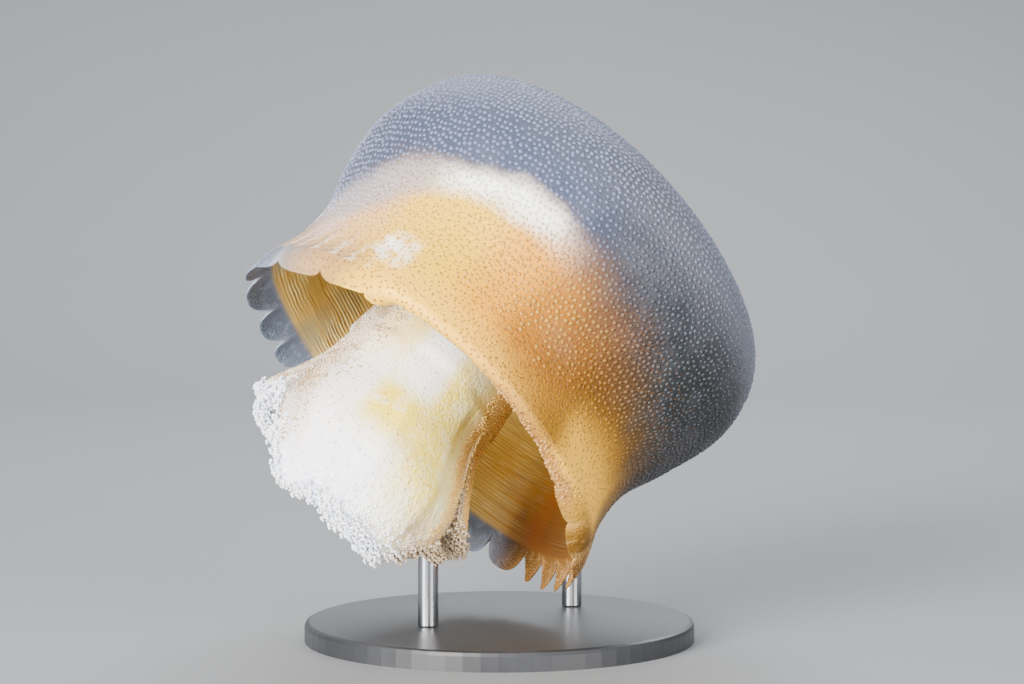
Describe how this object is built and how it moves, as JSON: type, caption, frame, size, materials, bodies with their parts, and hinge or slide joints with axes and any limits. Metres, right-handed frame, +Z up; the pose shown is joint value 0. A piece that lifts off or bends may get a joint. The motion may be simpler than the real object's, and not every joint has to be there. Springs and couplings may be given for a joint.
{
  "type": "jellyfish model on a stand",
  "caption": "Root-mouthed jellyfish with a thick warty bell, lappets round the hem, a stout trunk and frilled mouth arms, swimming over on its side above a round display stand.",
  "frame": {"origin": "middle of the underside of the stand's round base, which rests on the floor", "axes": "+Z up; -Y to the front, where the viewer stands; +X to the viewer's right, the side towards which the bell's crown heels over"},
  "size_m": [0.1291, 0.1271, 0.1444],
  "materials": {
    "bell_crown": "smooth wet jelly, blue-grey with pale warts",
    "bell_wall": "smooth wet jelly, golden brown with pale warts",
    "bell_margin": "smooth wet jelly, translucent grey lappets",
    "manubrium": "smooth wet jelly, cream",
    "mouth_arms": "smooth wet jelly, milky white with a beaded frill",
    "stand_base": "satin charcoal paint",
    "stand_rods": "brushed"
  },
  "bodies": {
    "root": {"bell_crown": "bell_crown", "bell_wall_1": "bell_wall", "bell_wall_2": "bell_wall", "bell_wall_3": "bell_wall", "bell_wall_4": "bell_wall", "bell_wall_5": "bell_wall", "bell_wall_6": "bell_wall", "bell_wall_7": "bell_wall", "bell_wall_8": "bell_wall", "bell_margin_1": "bell_margin", "bell_margin_2": "bell_margin", "bell_margin_3": "bell_margin", "bell_margin_4": "bell_margin", "bell_margin_5": "bell_margin", "bell_margin_6": "bell_margin", "bell_margin_7": "bell_margin", "bell_margin_8": "bell_margin", "manubrium": "manubrium", "mouth_arm_1": "mouth_arms", "mouth_arm_2": "mouth_arms", "mouth_arm_3": "mouth_arms", "mouth_arm_4": "mouth_arms", "mouth_arm_5": "mouth_arms", "mouth_arm_6": "mouth_arms", "mouth_arm_7": "mouth_arms", "mouth_arm_8": "mouth_arms", "stand_base": "stand_base", "stand_rod_front": "stand_rods", "stand_rod_back": "stand_rods"}
  },
  "joints": []
}
